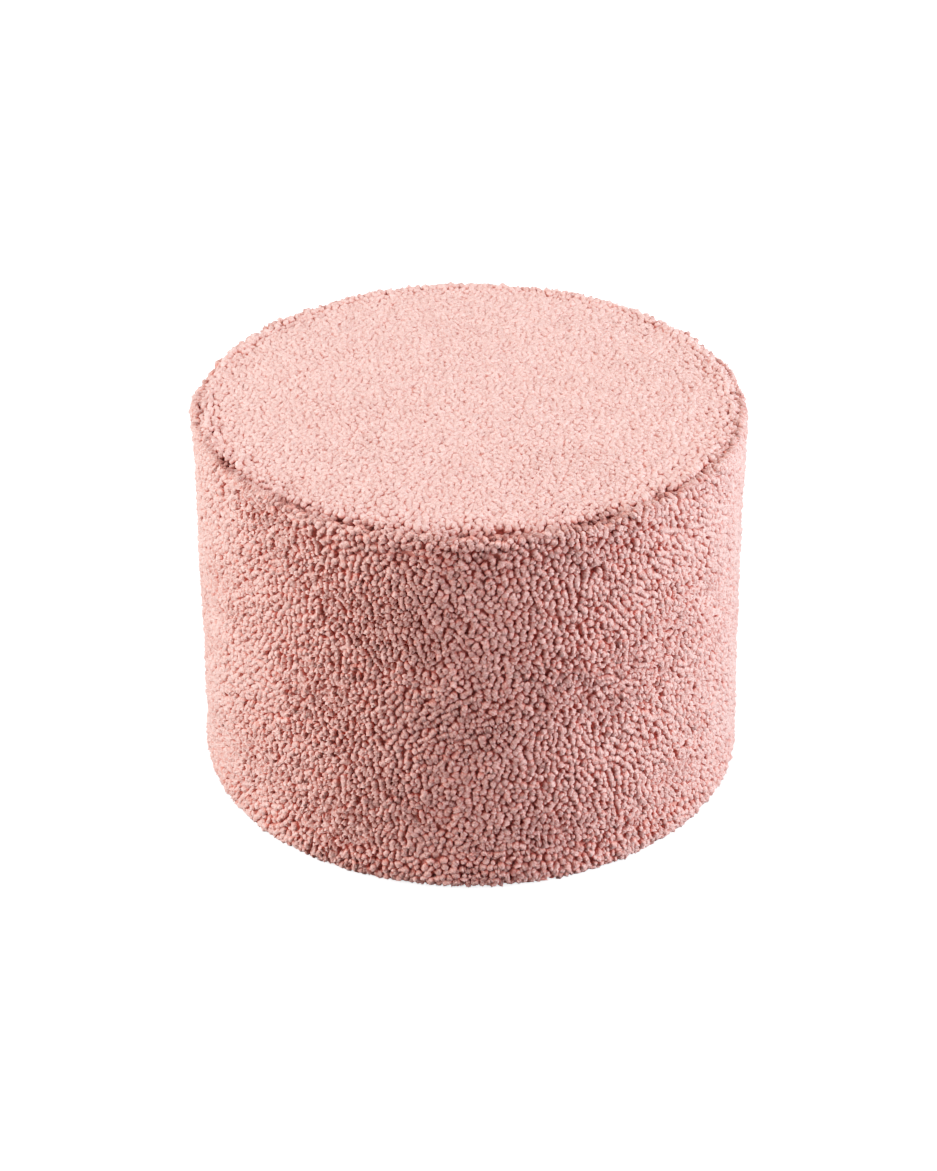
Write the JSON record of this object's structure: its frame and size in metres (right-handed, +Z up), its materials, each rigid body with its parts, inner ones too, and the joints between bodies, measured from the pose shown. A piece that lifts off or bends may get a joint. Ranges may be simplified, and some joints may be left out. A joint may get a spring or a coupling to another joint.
{
  "type": "plush pouf",
  "caption": "Round drum pouf in curly plush: a softly crowned top disc sewn to a straight side band over a flat base, for sitting on or resting feet.",
  "frame": {"origin": "middle of the base, on the floor", "axes": "+Z up through the middle of the drum; the picture looks along +Y, so -Y is the front and the closing seam is at +Y"},
  "size_m": [0.4515, 0.4512, 0.3311],
  "materials": {
    "plush": "short curly pile, matt with a soft sheen",
    "base_cloth": "plain flat weave, matt"
  },
  "bodies": {
    "root": {"top_panel": "plush", "side_panel": "plush", "base_panel": "base_cloth"}
  },
  "joints": []
}
